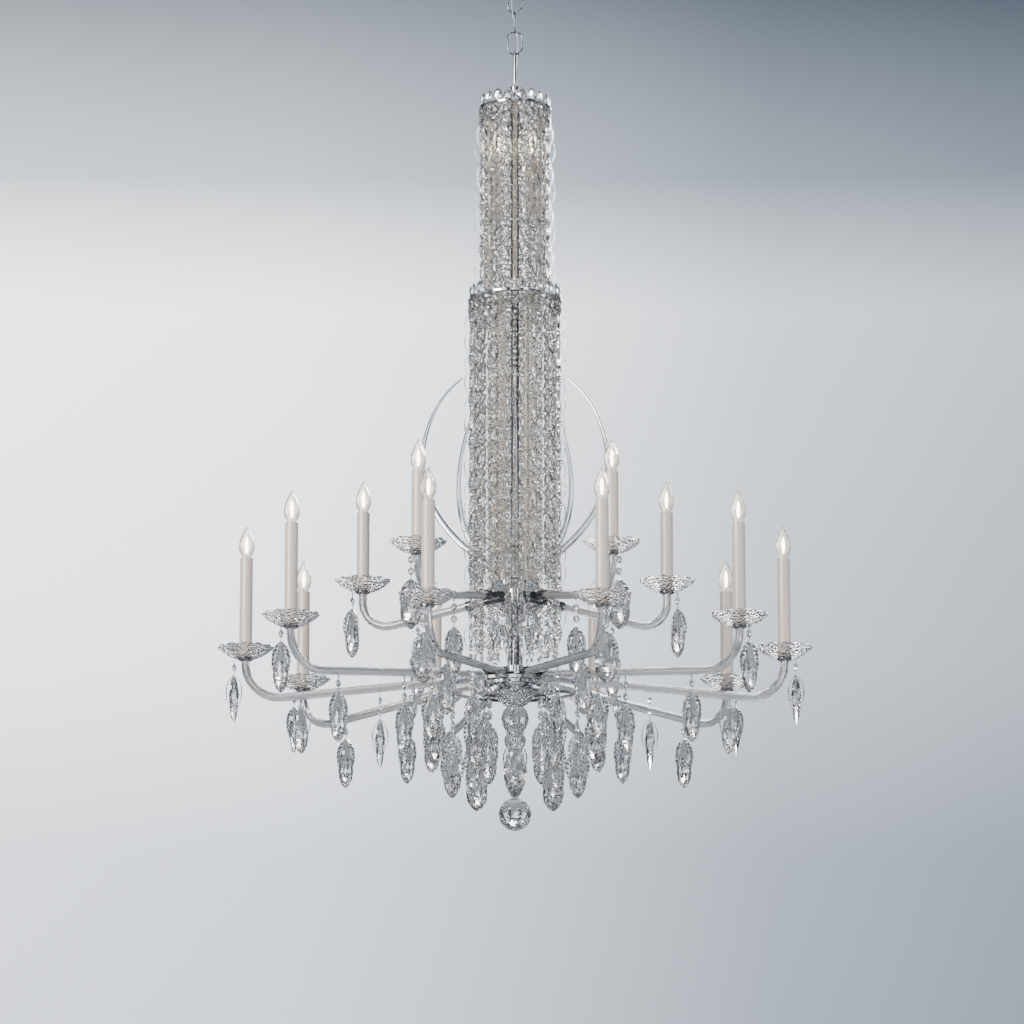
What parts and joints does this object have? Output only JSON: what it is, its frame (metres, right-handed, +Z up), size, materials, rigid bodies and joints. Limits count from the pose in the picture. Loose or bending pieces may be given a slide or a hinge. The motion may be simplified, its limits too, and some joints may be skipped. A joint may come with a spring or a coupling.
{
  "type": "two tier crystal chandelier",
  "caption": "Chain-hung chandelier: bead-draped column over two tiers of glass candle arms with crystal dishes, curved glass horns and faceted drops.",
  "frame": {"origin": "the ceiling plane at the centre of the outlet box, midway between its two screws", "axes": "+Z up, through the stem; -Y the front; X along the outlet box's screw line"},
  "size_m": [1.067, 1.0198, 1.688],
  "materials": {
    "chrome": "polished",
    "dark_chrome": "polished dark",
    "zinc_steel": "zinc plated",
    "chain": "polished",
    "cord": "clear sleeved flex",
    "wire": "bright pin wire",
    "crystal": "cut and polished",
    "cut_crystal": "cut and polished",
    "clear_glass": "drawn and fire polished",
    "arm_glass": "reeded drawn tube",
    "arm_core": "satin wire tube",
    "bead_strand": "strung cut beads",
    "champagne": "satin champagne",
    "sleeve": "satin pearl champagne",
    "socket": "moulded",
    "bulb_base": "stamped",
    "bulb_glass": "clear",
    "filament": "glowing"
  },
  "bodies": {
    "ceiling": {"ceiling_crossbar": "zinc_steel", "crossbar_nipple": "zinc_steel", "ceiling_canopy": "chrome", "collar_ring": "chrome", "canopy_loop": "chrome", "supply_cord": "cord"},
    "chain_1": {"chain_link_1": "chain"},
    "chain_2": {"chain_link_2": "chain"},
    "chain_3": {"chain_link_3": "chain"},
    "chain_4": {"chain_link_4": "chain"},
    "fixture": {"fixture_loop": "chrome", "stem_tube": "dark_chrome", "top_dome": "cut_crystal", "top_ring": "chrome", "crown_petals": "crystal", "mid_ring": "chrome", "upper_cage": "champagne", "lower_cage": "champagne", "upper_strands": "bead_strand", "lower_strands": "bead_strand", "inner_bracket": "chrome", "upper_hub": "chrome", "lower_hub": "chrome", "upper_hub_dish": "cut_crystal", "lower_hub_bowl": "cut_crystal", "drop_rings": "chrome", "upper_arm_glass": "arm_glass", "lower_arm_glass": "arm_glass", "arm_cores": "arm_core", "arm_sockets": "dark_chrome", "glass_horns": "clear_glass", "bobeches": "cut_crystal", "candle_cups": "dark_chrome", "candle_sockets": "socket", "candle_sleeves": "sleeve", "bulb_bases": "bulb_base", "bulb_envelopes": "bulb_glass", "bulb_filaments": "filament", "arm_crystals": "crystal", "hub_crystals": "crystal", "octagon_links": "crystal", "pin_wires": "wire", "finial_rod": "chrome", "finial_glass": "cut_crystal", "finial_ball": "cut_crystal"},
    "drop_upper_01": {"drop_upper_01": "crystal"},
    "drop_upper_02": {"drop_upper_02": "crystal"},
    "drop_upper_03": {"drop_upper_03": "crystal"},
    "drop_upper_04": {"drop_upper_04": "crystal"},
    "drop_upper_05": {"drop_upper_05": "crystal"},
    "drop_lower_01": {"drop_lower_01": "crystal"},
    "drop_lower_02": {"drop_lower_02": "crystal"},
    "drop_lower_03": {"drop_lower_03": "crystal"},
    "drop_lower_04": {"drop_lower_04": "crystal"},
    "drop_lower_05": {"drop_lower_05": "crystal"},
    "drop_lower_06": {"drop_lower_06": "crystal"},
    "drop_lower_07": {"drop_lower_07": "crystal"},
    "drop_lower_08": {"drop_lower_08": "crystal"},
    "drop_lower_09": {"drop_lower_09": "crystal"},
    "drop_lower_10": {"drop_lower_10": "crystal"}
  },
  "joints": [
    {"name": "chain_1_swing", "type": "hinge", "parent": "ceiling", "child": "chain_1", "pos_m": [0, 0, -0.083], "axis": [1, 0, 0], "range_deg": [-8, 8], "deforming": ["supply_cord"]},
    {"name": "chain_2_swing", "type": "hinge", "parent": "chain_1", "child": "chain_2", "pos_m": [0, 0, -0.1222], "axis": [0, 1, 0], "range_deg": [-8, 8]},
    {"name": "chain_3_twist", "type": "hinge", "parent": "chain_2", "child": "chain_3", "pos_m": [0, 0, -0.1622], "axis": [0, 0, 1], "range_deg": [-8, 8]},
    {"name": "chain_4_swing", "type": "hinge", "parent": "chain_3", "child": "chain_4", "pos_m": [0, 0, -0.2022], "axis": [0, 1, 0], "range_deg": [-8, 8]},
    {"name": "fixture_swing", "type": "hinge", "parent": "chain_4", "child": "fixture", "pos_m": [0, 0, -0.2422], "axis": [1, 0, 0], "range_deg": [-8, 8]},
    {"name": "drop_upper_01_swing", "type": "hinge", "parent": "fixture", "child": "drop_upper_01", "pos_m": [0.18221, -0.25079, -1.2352], "axis": [-0.809, -0.5878, 0], "range_deg": [-8, 25]},
    {"name": "drop_upper_02_swing", "type": "hinge", "parent": "fixture", "child": "drop_upper_02", "pos_m": [0.29483, 0.0958, -1.2352], "axis": [0.309, -0.9511, 0], "range_deg": [-8, 25]},
    {"name": "drop_upper_03_swing", "type": "hinge", "parent": "fixture", "child": "drop_upper_03", "pos_m": [0, 0.31, -1.2352], "axis": [1, 0, 0], "range_deg": [-8, 25]},
    {"name": "drop_upper_04_swing", "type": "hinge", "parent": "fixture", "child": "drop_upper_04", "pos_m": [-0.29483, 0.0958, -1.2352], "axis": [0.309, 0.9511, 0], "range_deg": [-8, 25]},
    {"name": "drop_upper_05_swing", "type": "hinge", "parent": "fixture", "child": "drop_upper_05", "pos_m": [-0.18221, -0.25079, -1.2352], "axis": [-0.809, 0.5878, 0], "range_deg": [-8, 25]},
    {"name": "drop_lower_01_swing", "type": "hinge", "parent": "fixture", "child": "drop_lower_01", "pos_m": [0.15544, -0.47838, -1.3772], "axis": [-0.9511, -0.309, 0], "range_deg": [-8, 25]},
    {"name": "drop_lower_02_swing", "type": "hinge", "parent": "fixture", "child": "drop_lower_02", "pos_m": [0.40694, -0.29566, -1.3772], "axis": [-0.5878, -0.809, 0], "range_deg": [-8, 25]},
    {"name": "drop_lower_03_swing", "type": "hinge", "parent": "fixture", "child": "drop_lower_03", "pos_m": [0.503, 0, -1.3772], "axis": [0, -1, 0], "range_deg": [-8, 25]},
    {"name": "drop_lower_04_swing", "type": "hinge", "parent": "fixture", "child": "drop_lower_04", "pos_m": [0.40694, 0.29566, -1.3772], "axis": [0.5878, -0.809, 0], "range_deg": [-8, 25]},
    {"name": "drop_lower_05_swing", "type": "hinge", "parent": "fixture", "child": "drop_lower_05", "pos_m": [0.15544, 0.47838, -1.3772], "axis": [0.9511, -0.309, 0], "range_deg": [-8, 25]},
    {"name": "drop_lower_06_swing", "type": "hinge", "parent": "fixture", "child": "drop_lower_06", "pos_m": [-0.15544, 0.47838, -1.3772], "axis": [0.9511, 0.309, 0], "range_deg": [-8, 25]},
    {"name": "drop_lower_07_swing", "type": "hinge", "parent": "fixture", "child": "drop_lower_07", "pos_m": [-0.40694, 0.29566, -1.3772], "axis": [0.5878, 0.809, 0], "range_deg": [-8, 25]},
    {"name": "drop_lower_08_swing", "type": "hinge", "parent": "fixture", "child": "drop_lower_08", "pos_m": [-0.503, 0, -1.3772], "axis": [0, 1, 0], "range_deg": [-8, 25]},
    {"name": "drop_lower_09_swing", "type": "hinge", "parent": "fixture", "child": "drop_lower_09", "pos_m": [-0.40694, -0.29566, -1.3772], "axis": [-0.5878, 0.809, 0], "range_deg": [-8, 25]},
    {"name": "drop_lower_10_swing", "type": "hinge", "parent": "fixture", "child": "drop_lower_10", "pos_m": [-0.15544, -0.47838, -1.3772], "axis": [-0.9511, 0.309, 0], "range_deg": [-8, 25]}
  ]
}
